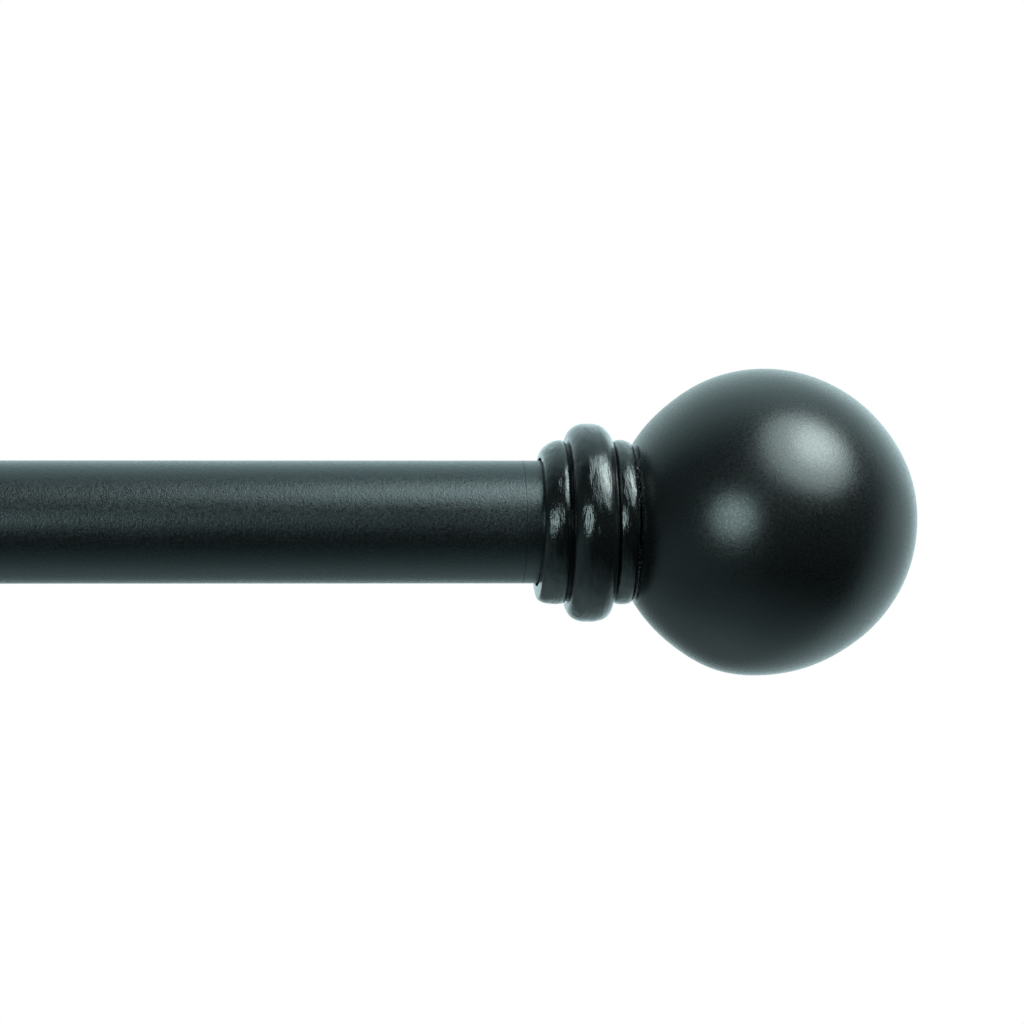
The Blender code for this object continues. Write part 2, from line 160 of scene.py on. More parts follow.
coords = wt.nodes.new("ShaderNodeTexCoord")
total = None
for direction, start, strength in LOBES:
    facing = wt.nodes.new("ShaderNodeVectorMath")
    facing.operation = "DOT_PRODUCT"
    facing.inputs[1].default_value = direction
    lobe = wt.nodes.new("ShaderNodeMapRange")
    lobe.interpolation_type = "SMOOTHSTEP"
    lobe.inputs["From Min"].default_value = start
    lobe.inputs["From Max"].default_value = 1.0
    lobe.inputs["To Min"].default_value = 0.0
    lobe.inputs["To Max"].default_value = strength
    wt.links.new(coords.outputs["Generated"], facing.inputs[0])
    wt.links.new(facing.outputs["Value"], lobe.inputs["Value"])
    if total is None:
        total = lobe.outputs["Result"]
    else:
        add = wt.nodes.new("ShaderNodeMath")
        wt.links.new(total, add.inputs[0])
        wt.links.new(lobe.outputs["Result"], add.inputs[1])
        total = add.outputs[0]
wt.links.new(total, lit.inputs["Strength"])
wt.links.new(path.outputs["Is Camera Ray"], mix.inputs["Fac"])
wt.links.new(lit.outputs[0], mix.inputs[1])
wt.links.new(seen.outputs[0], mix.inputs[2])
wt.links.new(mix.outputs[0], out.inputs["Surface"])


# ================================================================ materials
class Shade:
    """A Principled material under construction."""

    def __init__(self, name, colour, roughness, metallic=0.0, specular=0.5, tint=(1, 1, 1)):
        self.mat = bpy.data.materials.new(name)
        self.mat.use_nodes = True
        self.tree = self.mat.node_tree
        self.shader = self.tree.nodes["Principled BSDF"]
        self.shader.inputs["Base Color"].default_value = (*colour, 1)
        self.shader.inputs["Roughness"].default_value = roughness
        self.shader.inputs["Metallic"].default_value = metallic
        self.shader.inputs["Specular IOR Level"].default_value = specular
        self.shader.inputs["Specular Tint"].default_value = (*tint, 1)
        self.coords = self.tree.nodes.new("ShaderNodeTexCoord").outputs["Object"]
        self.height = None

    def node(self, kind, **values):
        n = self.tree.nodes.new(kind)
        for key, value in values.items():
            if key in n.inputs:
                n.inputs[key].default_value = value
            else:
                setattr(n, key, value)
        return n

    def link(self, a, b):
        self.tree.links.new(a, b)

    def mapped(self, scale=(1, 1, 1)):
        m = self.node("ShaderNodeMapping")
        m.inputs["Scale"].default_value = scale
        self.link(self.coords, m.inputs["Vector"])
        return m.outputs["Vector"]

    def noise(self, scale, detail=3.0, rough=0.55, stretch=(1, 1, 1), distortion=0.0):
        n = self.node("ShaderNodeTexNoise")
        n.inputs["Scale"].default_value = scale
        n.inputs["Detail"].default_value = detail
        n.inputs["Roughness"].default_value = rough
        n.inputs["Distortion"].default_value = distortion
        self.link(self.mapped(stretch), n.inputs["Vector"])
        return n.outputs["Fac"]

    def ramp(self, value, low, high, to_low, to_high, smooth=True):
        n = self.node("ShaderNodeMapRange")
        n.interpolation_type = "SMOOTHSTEP" if smooth else "LINEAR"
        self.link(value, n.inputs["Value"])
        n.inputs["From Min"].default_value = low
        n.inputs["From Max"].default_value = high
        n.inputs["To Min"].default_value = to_low
        n.inputs["To Max"].default_value = to_high
        return n.outputs["Result"]

    def maths(self, operation, a, b):
        n = self.node("ShaderNodeMath")
        n.operation = operation
        for i, v in enumerate((a, b)):
            if isinstance(v, (int, float)):
                n.inputs[i].default_value = v
            else:
                self.link(v, n.inputs[i])
        return n.outputs[0]

    def colours(self, factor, first, second, blend="MIX"):
        n = self.node("ShaderNodeMix")
        n.data_type = "RGBA"
        n.blend_type = blend
        self.link(factor, n.inputs["Factor"])
        for socket, value in ((n.inputs[6], first), (n.inputs[7], second)):
            if isinstance(value, tuple):
                socket.default_value = (*value, 1)
            else:
                self.link(value, socket)
        return n.outputs[2]

    def bump(self, height, strength, distance):
        n = self.node("ShaderNodeBump")
        n.inputs["Strength"].default_value = strength
        n.inputs["Distance"].default_value = distance
        self.link(height, n.inputs["Height"])
        if self.height is not None:
            self.link(self.height, n.inputs["Normal"])
        self.height = n.outputs["Normal"]
        self.link(self.height, self.shader.inputs["Normal"])

    def edges(self, radius, low, high):
        """1 on exposed edges, from the bevel shader's normal against the real one."""
        bevel = self.node("ShaderNodeBevel", samples=4)
        bevel.inputs["Radius"].default_value = radius
        geometry = self.node("ShaderNodeNewGeometry")
        dot = self.node("ShaderNodeVectorMath", operation="DOT_PRODUCT")
        self.link(bevel.outputs[0], dot.inputs[0])
        self.link(geometry.outputs["Normal"], dot.inputs[1])
        return self.ramp(dot.outputs["Value"], 1 - low, 1 - high, 0.0, 1.0)

    def to(self, socket, value):
        self.link(value, self.shader.inputs[socket])


COOL = (0.87, 1.0, 1.0)                                 # the paint's cast, which its gloss carries as well


def powder_coat(name, colour=(0.0064, 0.0078, 0.0082), grain=1.0, roughness=0.31, specular=0.75, tint=COOL):
    """Satin black powder coat: a fine eggshell grain, slow waves from the melt, and a little tooth in the gloss."""
    s = Shade(name, colour, roughness, 0.0, specular, tint)
    tooth = s.noise(5600, 1.5, 0.6)
    fine = s.noise(2400, 2.0, 0.6)
    coarse = s.noise(760, 3.0, 0.6)
    waves = s.noise(80, 2.0, 0.5)
    handled = s.noise(14, 4.0, 0.6)
    dust = s.noise(5200, 1.0, 0.5)
    tint = s.colours(
        s.ramp(tooth, 0.3, 0.7, 0.0, 1.0), tuple(c * 0.40 for c in colour), tuple(c * 1.55 for c in colour)
    )
    tint = s.colours(s.ramp(dust, 0.72, 0.80, 0.0, 0.35), tint, tuple(c * 4.5 for c in colour))
    s.to("Base Color", tint)
    rough = s.maths("ADD", s.ramp(fine, 0.25, 0.75, -0.06, 0.06), s.ramp(handled, 0.3, 0.7, roughness - 0.03, roughness + 0.05))
    s.to("Roughness", rough)
    s.bump(waves, 0.25 * grain, 0.00018)
    s.bump(coarse, 0.55 * grain, 0.00004)
    s.bump(fine, 0.7 * grain, 0.00003)
    s.bump(tooth, 1.0 * grain, 0.000024)
    return s.mat


def lacquer(name, colour=(0.0072, 0.0090, 0.0096), roughness=0.30, streaks=0.0, specular=0.55):
    """Sprayed black lacquer over a casting. streaks draws it out along the turned beads. Every lacquer is chipped with
    light flecks at the joint of collar and ball, and the flecks are made denser on the upper side as a painted
    highlight.
    """
    s = Shade(name, colour, roughness, 0.0, specular, COOL)
    orange_peel = s.noise(900, 2.0, 0.5)
    fine = s.noise(2600, 2.0, 0.6)
    tooth = s.noise(5600, 1.5, 0.6)
    slow = s.noise(60, 2.0, 0.5)
    patch = s.noise(26, 3.0, 0.55)
    base = s.colours(s.ramp(patch, 0.35, 0.7, 0.0, 1.0), tuple(c * 0.9 for c in colour), tuple(c * 1.15 for c in colour))
    base = s.colours(s.ramp(tooth, 0.3, 0.7, 0.0, 1.0), tuple(c * 0.45 for c in colour), base)
    # flecks of bare filler where the lacquer has cracked round the joint of collar and ball, mostly on the upper side:
    # that bias is painted highlight, with the flecks kept where the key light falls and thinned to painted shade
    # underneath
    place = s.node("ShaderNodeSeparateXYZ")
    s.link(s.coords, place.inputs[0])
    reach = s.maths("ABSOLUTE", place.outputs["X"], 0.0)
    near = s.maths("ABSOLUTE", s.maths("SUBTRACT", reach, JOINT_X + 0.0001), 0.0)
    band = s.ramp(near, 0.0001, 0.00055, 1.0, 0.0)
    # painted light: full flecks at the top, about a seventh of them underneath, lighter where the light falls
    upper = s.ramp(place.outputs["Z"], -0.004, 0.004, 0.15, 1.0)
    flecks = s.ramp(s.noise(2600, 2.0, 0.65), 0.60, 0.66, 0.0, 1.0)
    chips_and_painted_highlight = s.maths("MULTIPLY", s.maths("MULTIPLY", band, upper), flecks)
    s.to("Base Color", s.colours(chips_and_painted_highlight, base, (0.24, 0.27, 0.27)))
    s.to(
        "Roughness",
        s.maths("ADD", s.ramp(patch, 0.3, 0.7, roughness - 0.03, roughness + 0.04), s.ramp(fine, 0.3, 0.7, -0.04, 0.04)),
    )
    s.bump(slow, 0.25, 0.00015)
    if streaks:
        lumps = s.noise(330, 3.0, 0.6, stretch=(2.2, 0.55, 0.55), distortion=0.6)
        drawn = s.noise(760, 3.0, 0.65, stretch=(3.0, 0.42, 0.42), distortion=0.35)
        s.bump(lumps, streaks * 0.7, 0.00020)
        s.bump(drawn, streaks * 0.8, 0.00006)
    s.bump(orange_peel, 0.35, 0.00003)
    s.bump(fine, 0.40, 0.00002)
    s.bump(tooth, 0.9, 0.000018)
    return s.mat


def moulded(name, colour, roughness=0.45, speck=1.0):
    """Injection-moulded plastic with a spark-eroded texture."""
    s = Shade(name, colour, roughness, 0.0, 0.45)
    texture = s.noise(1500, 2.0, 0.6)
    flow = s.noise(90, 3.0, 0.6, stretch=(0.35, 1, 1))
    s.to(
        "Base Color",
        s.colours(s.ramp(flow, 0.3, 0.75, 0.0, 1.0), tuple(c * 0.93 for c in colour), tuple(min(1, c * 1.06) for c in colour)),
    )
    s.to("Roughness", s.ramp(texture, 0.3, 0.7, roughness - 0.06, roughness + 0.08))
    s.bump(flow, 0.2, 0.00008)
    s.bump(texture, 0.45 * speck, 0.00003)
    return s.mat


def zinc(name):
    """Bright zinc plate, with a spangled haze."""
    s = Shade(name, (0.60, 0.61, 0.62), 0.26, 1.0)
    haze = s.noise(240, 4.0, 0.6)
    lines = s.noise(900, 2.0, 0.6, stretch=(0.25, 1, 1))
    s.to("Base Color", s.colours(s.ramp(haze, 0.35, 0.7, 0.0, 1.0), (0.50, 0.51, 0.52), (0.66, 0.67, 0.69)))
    s.to("Roughness", s.ramp(haze, 0.3, 0.7, 0.2, 0.36))
    s.bump(lines, 0.3, 0.00002)
    return s.mat


def blackened(name):
    """Black oxide on steel, rubbed a little brighter on its edges."""
    s = Shade(name, (0.020, 0.021, 0.022), 0.34, 0.35)
    haze = s.noise(300, 3.0, 0.6)
    fine = s.noise(1800, 2.0, 0.6)
    worn = s.edges(0.00018, 0.02, 0.30)
    patchy = s.maths("MULTIPLY", worn, s.ramp(haze, 0.42, 0.62, 0.0, 1.0))
    base = s.colours(s.ramp(haze, 0.3, 0.7, 0.0, 1.0), (0.016, 0.017, 0.018), (0.030, 0.031, 0.033))
    s.to("Base Color", s.colours(patchy, base, (0.16, 0.16, 0.165)))
    s.to("Roughness", s.ramp(haze, 0.3, 0.7, 0.28, 0.42))
    s.bump(fine, 0.4, 0.00002)
    return s.mat


TUBE = powder_coat("tube_powder_coat", tint=(0.80, 1.0, 1.03))
BRACKET = powder_coat("bracket_powder_coat", (0.0085, 0.0102, 0.0106), 1.15, 0.38)
BALL = lacquer("ball_lacquer", roughness=0.27)
COLLAR = lacquer("collar_lacquer", (0.0068, 0.0086, 0.0092), 0.185, 1.0, 0.62)
PLUG = powder_coat("plug_painted_black", (0.0064, 0.0078, 0.0082), 0.9, 0.31, tint=(0.80, 1.0, 1.03))      # its flange is painted with the tube
NYLON = moulded("glide_nylon", (0.70, 0.69, 0.64), 0.48)
GREY = moulded("anchor_plastic_grey", (0.30, 0.31, 0.32), 0.5)
ZINC = zinc("zinc_plate")
STEEL = blackened("blackened_steel")


# ================================================================ mesh helpers
def weighed(obj):
    """Bakes normals weighted by area into the mesh, so that a broad flat beside a narrow bevel is shaded flat."""
    m = obj.modifiers.new("weigh", "WEIGHTED_NORMAL")
    m.keep_sharp = True
    m.weight = 100
    bpy.context.view_layer.update()
    depsgraph = bpy.context.evaluated_depsgraph_get()
    mesh = bpy.data.meshes.new_from_object(obj.evaluated_get(depsgraph), preserve_all_data_layers=True, depsgraph=depsgraph)
    plain, name = obj.data, obj.data.name
    obj.modifiers.remove(m)
    obj.data = mesh
    bpy.data.meshes.remove(plain)
    mesh.name = name


def piece(name, bm, material, body, replaces, smooth_angle=32, flats=False):
    bmesh.ops.recalc_face_normals(bm, faces=bm.faces)
    mesh = bpy.data.meshes.new(name)
    bm.to_mesh(mesh)
    bm.free()
    mesh.shade_smooth()
    mesh.set_sharp_from_angle(angle=math.radians(smooth_angle))
    mesh.materials.append(material)
    obj = bpy.data.objects.new(name, mesh)
    scene.collection.objects.link(obj)
    if flats:
        weighed(obj)
    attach(obj, body)
    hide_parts(*replaces)
    return obj


def lathe(profile, segments, place, warp=None, closed=True):
    """A turned surface. profile lists (radius, height) in millimetres; place maps a local point, in metres, to the model.
    closed joins the profile's last point to its first; otherwise its ends lie on the axis. warp(r, a, z) returns a new (r, a, z)."""
    bm = bmesh.new()
    rings = []
    for r, z in profile:
        if r < 1e-6:
            rings.append([bm.verts.new(place(Vector((0, 0, z * MM))))])
            continue
        ring = []
        for i in range(segments):
            a = math.tau * i / segments
            rr, aa, zz = warp(r, a, z) if warp else (r, a, z)
            ring.append(bm.verts.new(place(Vector((rr * math.cos(aa), rr * math.sin(aa), zz)) * MM)))
        rings.append(ring)
    pairs = list(zip(rings, rings[1:])) + ([(rings[-1], rings[0])] if closed else [])
    for a, b in pairs:
        if len(a) == 1 and len(b) == 1:
            continue
        for i in range(segments):
            j = (i + 1) % segments
            corner = [a[i % len(a)], a[j % len(a)], b[j % len(b)], b[i % len(b)]]
            corner = list(dict.fromkeys(corner))
            if len(corner) > 2:
                bm.faces.new(corner)
    return bm


def placed(matrix):
    return lambda p: matrix @ p


def axis_frame(origin, direction):
    """Local +Z along direction, at origin, in metres."""
    q = Vector(direction).to_track_quat("Z", "Y")
    return Matrix.Translation(origin) @ q.to_matrix().to_4x4()


def rounded(points, radius, steps=4, closed=True):
    """A polyline with its corners rounded. Each point is (x, y) or (x, y, radius); radius 0 stays sharp."""
    out = []
    n = len(points)
    for i, p in enumerate(points):
        r = p[2] if len(p) > 2 else radius
        if r <= 0 or (not closed and i in (0, n - 1)):
            out.append((p[0], p[1]))
            continue
        here = Vector((p[0], p[1]))
        a = Vector(points[i - 1][:2]) - here
        b = Vector(points[(i + 1) % n][:2]) - here
        if a.length < 1e-9 or b.length < 1e-9:
            out.append((p[0], p[1]))
            continue
        angle = a.angle(b)
        if angle > math.radians(174):
            out.append((p[0], p[1]))
            continue
        cut = min(r / math.tan(angle / 2), a.length * 0.48, b.length * 0.48)
        start, end = here + a.normalized() * cut, here + b.normalized() * cut
        for k in range(steps + 1):
            t = k / steps
            q = start * (1 - t) ** 2 + here * (2 * t * (1 - t)) + end * t**2
            out.append((q.x, q.y))
    return out


def sample(curve, start, end, count):
    return [curve(start + (end - start) * i / count) for i in range(count + 1)]


def bevelled(bm, width, segments=2, angle=30, place=None):
    """Rounds every edge sharper than angle, in metres, and drops flat seams first."""
    bmesh.ops.remove_doubles(bm, verts=bm.verts, dist=1e-6)
    bmesh.ops.recalc_face_normals(bm, faces=bm.faces)
    flat = [
        e for e in bm.edges
        if len(e.link_faces) == 2 and e.calc_face_angle(0) < math.radians(0.5)
    ]
    bmesh.ops.dissolve_edges(bm, edges=flat, use_verts=False)
    sharp = [e for e in bm.edges if len(e.link_faces) == 2 and e.calc_face_angle(0) > math.radians(angle)]
    bmesh.ops.bevel(
        bm, geom=sharp, offset=width, segments=segments, profile=0.5, affect="EDGES", clamp_overlap=True
    )
    if place is not None:
        bmesh.ops.transform(bm, matrix=place, verts=bm.verts)
    return bm


def threaded(length_from, length_to, major, pitch, place, segments=40, depth=None, rows=8, chamfer=0.8, tip_cone=0.0):
    """A closed threaded rod whose radius follows a rounded V helix. Lengths are in millimetres, along local Z."""
    depth = 0.6 * pitch if depth is None else depth
    count = int((length_to - length_from) / pitch * rows)
    bm = bmesh.new()
    rings = []
    for k in range(count + 1):
        z = length_from + (length_to - length_from) * k / count
        ring = []
        for i in range(segments):
            a = math.tau * i / segments
            phase = (z / pitch - i / segments) % 1.0
            tri = abs(2 * phase - 1)
            r = major - depth * min(1.0, max(0.0, 1.12 * tri - 0.06))
            near = min(z - length_from, length_to - z)
            if near < chamfer:
                r = min(r, major - (chamfer - near) * 0.9)
            if tip_cone and z - length_from < tip_cone:
                r *= max(0.05, (z - length_from) / tip_cone) ** 0.8
            ring.append(bm.verts.new(place @ (Vector((r * math.cos(a), r * math.sin(a), z)) * MM)))
        rings.append(ring)
    for a, b in zip(rings, rings[1:]):
        for i in range(segments):
            j = (i + 1) % segments
            bm.faces.new([a[i], a[j], b[j], b[i]])
    bm.faces.new(rings[0][::-1])
    bm.faces.new(rings[-1])
    return bm


# ================================================================ finials
BALL_R, BALL_CENTRE = 20.0, 29.3
COLLAR_LENGTH = 12.1
TILT = math.radians(2.3)                                # the collar's face is not quite square to the rod
# where the ball is fuller or flatter than a sphere: bearing from the pole and width in degrees, height in millimetres
BALL_FLATS = ((-57, 20, -0.38), (-108, 11, 0.30), (131, 11, -0.20), (15, 10, 0.17))


def wobble(x, y, z, scale, seed):
    return noise.noise(Vector((x * scale + seed, y * scale - seed * 0.37, z * scale + seed * 1.7)))


def finial(side, direction, face_x, spin):
    """Collar and ball along direction from the collar's face. spin turns the casting's flaws about the rod."""
    base = axis_frame(Vector((face_x, AXIS_Y, AXIS_Z)), direction)
    # local X points where the camera's up is, so that flaws can be placed by angle from the top
    up = base.inverted().to_quaternion() @ Vector((0, 0, 1))
    top = math.atan2(up.y, up.x) + spin
    seed = 3.7 if side == "right" else 11.3

    # -------- ball: cast, sprayed, very slightly out of round
    def ball_warp(r, a, z):
        p = Vector((r * math.cos(a), r * math.sin(a), z - BALL_CENTRE))
        n = p.normalized() if p.length > 1 else Vector((0, 0, 1))
        if p.length < BALL_R * 0.9:
            return r, a, z
        flank = math.hypot(n.x, n.y)
        out_of_plane = math.sin(a - top) * flank
        bearing = math.degrees(math.atan2(math.cos(a - top) * flank, n.z))    # 0 at the pole, 90 at the top, -90 underneath
        flats = sum(height * math.exp(-(((bearing - at) / width) ** 2) / 2) for at, width, height in BALL_FLATS)
        flats *= max(0.0, 1 - out_of_plane**2) ** 1.5
        scale = 1 + (0.06 * wobble(n.x, n.y, n.z, 1.3, seed) + 0.04 * wobble(n.x, n.y, n.z, 3.1, seed + 5) + flats) / BALL_R
        p *= scale
        return math.hypot(p.x, p.y), math.atan2(p.y, p.x), p.z + BALL_CENTRE

    last = math.asin((COLLAR_LENGTH + 0.25 - BALL_CENTRE) / BALL_R)
    rows = 110
    profile = [(0.0, BALL_CENTRE + BALL_R)]
    for i in range(1, rows + 1):
        t = math.pi / 2 + (last - math.pi / 2) * i / rows
        profile.append((BALL_R * math.cos(t), BALL_CENTRE + BALL_R * math.sin(t)))
    seat = COLLAR_LENGTH + 0.25
    profile += [(9.9, seat - 0.02), (3.2, seat), (3.2, 26.9), (0.0, 27.9)]
    bm = lathe(profile, 160, placed(base), ball_warp, closed=False)
    ball = piece(f"{side}_ball", bm, BALL, f"{side}_finial", [f"{side}_finial_ball"], 40)

    # -------- collar: three beads turned with sharp grooves; the bead by the rod is thrown out a little on one side
    def bead_1(t):                                      # from the groove down to the flat face, with a chamfered corner
        a = math.radians(90 * t)
        return 9.55 + 1.16 * math.cos(a) ** 0.95, 2.45 * (1 - math.sin(a) ** 1.15)

    def bead_2(t):
        c = math.cos(math.pi * t)
        s = math.sqrt(max(0.0, 1 - abs(c) ** 2.6))
        return 11.0 + 1.99 * s, 6.35 + 2.93 * c

    def bead_3(t):
        c = math.cos(math.pi * t)
        s = math.sqrt(max(0.0, 1 - abs(c) ** 2.6))
        return 10.24 + 0.46 * s, 10.66 + 1.24 * c

    profile = [(9.9, COLLAR_LENGTH), (10.18, COLLAR_LENGTH - 0.06)]
    profile += sample(bead_3, 0.0, 1.0, 20)
    profile += [(10.14, 9.38), (10.12, 9.32), (10.4, 9.30)]
    profile += sample(bead_2, 0.0, 1.0, 34)
    profile += [(10.95, 3.42), (10.42, 3.37), (10.3, 3.27), (10.36, 3.16), (10.55, 3.04), (10.66, 2.85)]
    profile += sample(bead_1, 0.0, 1.0, 26)
    profile += [(9.45, 0.0), (9.35, -0.01), (8.55, -0.07), (8.45, -0.08), (8.38, -0.05), (8.36, 0.06), (8.35, 3.6), (3.2, 3.6), (3.2, COLLAR_LENGTH)]

    def collar_warp(r, a, z):
        c, s = math.cos(a - top), math.sin(a - top)
        if r > 8.3 and z < 3.0:
            # the face and its corner lean over together; the corner is rounder at the top and squarer underneath
            lean = max(0.0, 1 - z / 3.0)
            if r > 8.8:
                r += (0.28 * max(0.0, -c) - 0.62 * max(0.0, c)) * lean**2
            z += (math.tan(TILT) * 8.2 * c - 0.30 + 0.27 * max(0.0, -c)) * lean
        if r > 9.5 and 6.35 < z < 9.35:
            r -= 0.44 * max(0.0, c) * ((z - 6.35) / 2.93) ** 1.5
        if r > 10.9 and 3.4 < z < 9.35:
            r -= 0.15 * max(0.0, c) * min(1.0, (r - 10.9) / 0.5)
        if r > 9.5 and z > 10.6:
            r -= 0.30 * max(0.0, c) * (z - 10.6) / 1.5
        if r > 9.5:
            # lumps in the lacquer, drawn out along the beads
            lump = 0.055 * wobble(math.cos(a) * 3.0, math.sin(a) * 3.0, z * 0.9, 1.0, seed)
            lump += 0.030 * wobble(math.cos(a) * 9.0, math.sin(a) * 9.0, z * 1.6, 1.0, seed + 2)
            r += lump
            z += 0.03 * wobble(math.cos(a) * 5.0, math.sin(a) * 5.0, z * 0.5, 1.0, seed + 9) if 0.6 < z < 11.5 else 0.0
        return r, a, z

    bm = lathe(profile, 192, placed(base), collar_warp, closed=True)
    collar = piece(f"{side}_collar", bm, COLLAR, f"{side}_finial", [f"{side}_finial_collar"], 38)

    # -------- stud, mostly hidden
    bm = threaded(-4.5, 26.5, 3.0, 1.0, base, segments=32, rows=6)
    piece(f"{side}_stud", bm, ZINC, f"{side}_stud", [f"{side}_finial_stud"], 50)
    return ball, collar


finial("right", (1, 0, 0), COLLAR_X, 0.0)
finial("left", (-1, 0, 0), LEFT_COLLAR_X, 2.1)


# ================================================================ rod
def tube(name, x_from, x_to, outer, inner, mouth, body, node, material, segments=128):
    """A painted tube along X. mouth adds a rolled-in lip at x_from."""
    place = axis_frame(Vector((x_from, AXIS_Y, AXIS_Z)), (1, 0, 0))
    length = (x_to - x_from) / MM
    if mouth:
        profile = [(outer - 0.02, length + 0.215), (outer, length + 0.195), (outer, length + 0.13), (outer, length + 0.05)]
        steps = 40
        profile += [(outer, length - 1 - (length - 5.0) * i / steps) for i in range(steps + 1)]
        profile += [
            (outer - 0.7 * (1 - math.cos(math.radians(a))), 4.0 - 3.85 * math.sin(math.radians(a)))
            for a in range(10, 91, 10)
        ]
        profile += [(mouth + 0.12, 0.0), (mouth, 0.12), (mouth, 3.0), (inner, 5.5), (inner, length)]
    else:
        profile = [(outer - 0.08, length), (outer, length - 0.08)]
        steps = 40
        profile += [(outer, length - 1 - (length - 2) * i / steps) for i in range(steps + 1)]
        profile += [(outer, 0.08), (outer - 0.08, 0.0), (inner, 0.0), (inner, length)]
    return piece(name, lathe(profile, segments, placed(place)), material, body, [node], 40)


outer_low, outer_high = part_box("outer_tube")
inner_low, inner_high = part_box("inner_tube")
tube("large_tube", outer_low.x, outer_high.x, 8.0, 7.5, 6.85, "rod", "outer_tube", TUBE)
tube("small_tube", inner_low.x, inner_high.x, 6.5, 6.05, None, "inner_rod", "inner_tube", TUBE)


def end_plug(name, face_x, direction, bore, body, node):
    base = axis_frame(Vector((face_x, AXIS_Y, AXIS_Z)), direction)
    spigot = bore - 0.22
    profile = [
        (7.6, 3.3), (7.78, 3.25), (7.92, 3.12), (7.995, 2.9), (8.0, 2.6), (8.0, 0.0), (8.0, -2.25), (8.0, -2.38), (8.0, -2.405),
        (7.95, -2.4), (7.6, -2.4), (spigot, -2.4), (spigot, -21.2), (spigot - 0.6, -22.4), (3.4, -22.4), (3.2, -22.2), (3.2, 3.1), (3.4, 3.3),
    ]
    return piece(name, lathe(profile, 128, placed(base)), PLUG, body, [node], 40)


end_plug("large_tube_plug", COLLAR_X, (1, 0, 0), 7.5, "rod", "outer_tube_end_plug")
end_plug("small_tube_plug", LEFT_COLLAR_X, (-1, 0, 0), 6.05, "inner_rod", "inner_tube_end_plug")

glide_place = axis_frame(Vector((inner_high.x, AXIS_Y, AXIS_Z)), (1, 0, 0))
glide_profile = [
    (6.7, 8.3), (7.0, 8.2), (7.3, 7.5), (7.3, 5.2), (6.95, 5.0), (6.95, 4.1), (7.3, 3.9), (7.3, 0.9), (7.1, 0.5),
    (6.8, 0.3), (5.83, 0.3), (5.83, -13.0), (5.23, -14.0), (3.8, -14.0), (3.8, 8.1), (4.0, 8.3),
]
piece("glide", lathe(glide_profile, 64, placed(glide_place)), NYLON, "inner_rod", ["inner_tube_glide"], 35)


# ================================================================ brackets
ROD_PROJECTION = -AXIS_Y / MM
ARM_W, ARM_T, ARM_Z = 12.0, 2.0, 4.0
CUP_R, LIP_TOP_Z, BEND_R = 8.3, 6.6, 2.5
PLATE_W, PLATE_H, PLATE_T, PLATE_MID_Z = 20.0, 64.0, 1.6, 4.0
SCREW_PITCH = 46.0
CLAMP_Y, THUMB_Z = -33.2, 1.0
CHANNEL_T = 1.6
LIP_OUT_Y = -ROD_PROJECTION - CUP_R - ARM_T
SIDEWAYS = Matrix(((0, 0, 1, 0), (1, 0, 0, 0), (0, 1, 0, 0), (0, 0, 0, 1)))     # local X, Y, Z to Y, Z, X


def arc(cx, cy, radius, start, end, count):
    return [
        (
            cx + radius * math.cos(math.radians(start + (end - start) * i / count)),
            cy + radius * math.sin(math.radians(start + (end - start) * i / count)),
        )
        for i in range(count + 1)
    ]


def extruded(outline, depth, holes=(), at=0.0):
    """A closed prism of an outline and its holes, in metres, about Z = at, from millimetres."""
    curve = bpy.data.curves.new("outline", "CURVE")
    curve.dimensions = "2D"
    curve.fill_mode = "BOTH"
    curve.extrude = depth * MM / 2
    for line in (outline, *holes):
        spline = curve.splines.new("POLY")
        spline.points.add(len(line) - 1)
        for p, (x, y) in zip(spline.points, line):
            p.co = (x * MM, y * MM, 0, 1)
        spline.use_cyclic_u = True
    obj = bpy.data.objects.new("outline", curve)
    scene.collection.objects.link(obj)
    bpy.context.view_layer.update()
    mesh = bpy.data.meshes.new_from_object(obj.evaluated_get(bpy.context.evaluated_depsgraph_get()))
    bm = bmesh.new()
    bm.from_mesh(mesh)
    bmesh.ops.remove_doubles(bm, verts=bm.verts, dist=1e-6)
    bmesh.ops.translate(bm, verts=bm.verts, vec=(0, 0, at * MM))
    bpy.data.objects.remove(obj, do_unlink=True)
    bpy.data.curves.remove(curve)
    bpy.data.meshes.remove(mesh)
    return bm


def temporary(bm):
    mesh = bpy.data.meshes.new("temporary")
    bm.to_mesh(mesh)
    bm.free()
    obj = bpy.data.objects.new("temporary", mesh)
    scene.collection.objects.link(obj)
    return obj


def cut(bm, *steps):
    """The solid after Boolean steps (operation, bmesh)."""
    obj = temporary(bm)
    tools = []
    for operation, tool in steps:
        bmesh.ops.recalc_face_normals(tool, faces=tool.faces)
        tools.append(temporary(tool))
        m = obj.modifiers.new("cut", "BOOLEAN")
        m.operation = operation
        m.object = tools[-1]
        m.solver = "EXACT"
    bpy.context.view_layer.update()
    mesh = bpy.data.meshes.new_from_object(obj.evaluated_get(bpy.context.evaluated_depsgraph_get()))
    made = bmesh.new()
    made.from_mesh(mesh)
    for o in (obj, *tools):
        bpy.data.objects.remove(o, do_unlink=True)
    return made


def rod_bm(radius, depth, matrix, segments=48):
    bm = bmesh.new()
    bmesh.ops.create_cone(
        bm, cap_ends=True, segments=segments, radius1=radius * MM, radius2=radius * MM, depth=depth * MM, matrix=matrix
    )
    return bm


def strip_outline(path, thickness):
    sides = ([], [])
    for i in range(len(path)):
        p = Vector(path[i])
        along = (Vector(path[min(i + 1, len(path) - 1)]) - Vector(path[max(i - 1, 0)])).normalized()
        n = Vector((-along.y, along.x)) * thickness / 2
        sides[0].append(tuple(p + n))
        sides[1].append(tuple(p - n))
    return sides[0] + sides[1][::-1]


def stadium(length, radius, count, centre=(0, 0), upright=False):
    half = length / 2 - radius
    ends = arc(half, 0, radius, -90, 90, count) + arc(-half, 0, radius, 90, 270, count)
    if upright:
        ends = [(-y, x) for x, y in ends]
    return [(x + centre[0], y + centre[1]) for x, y in ends]


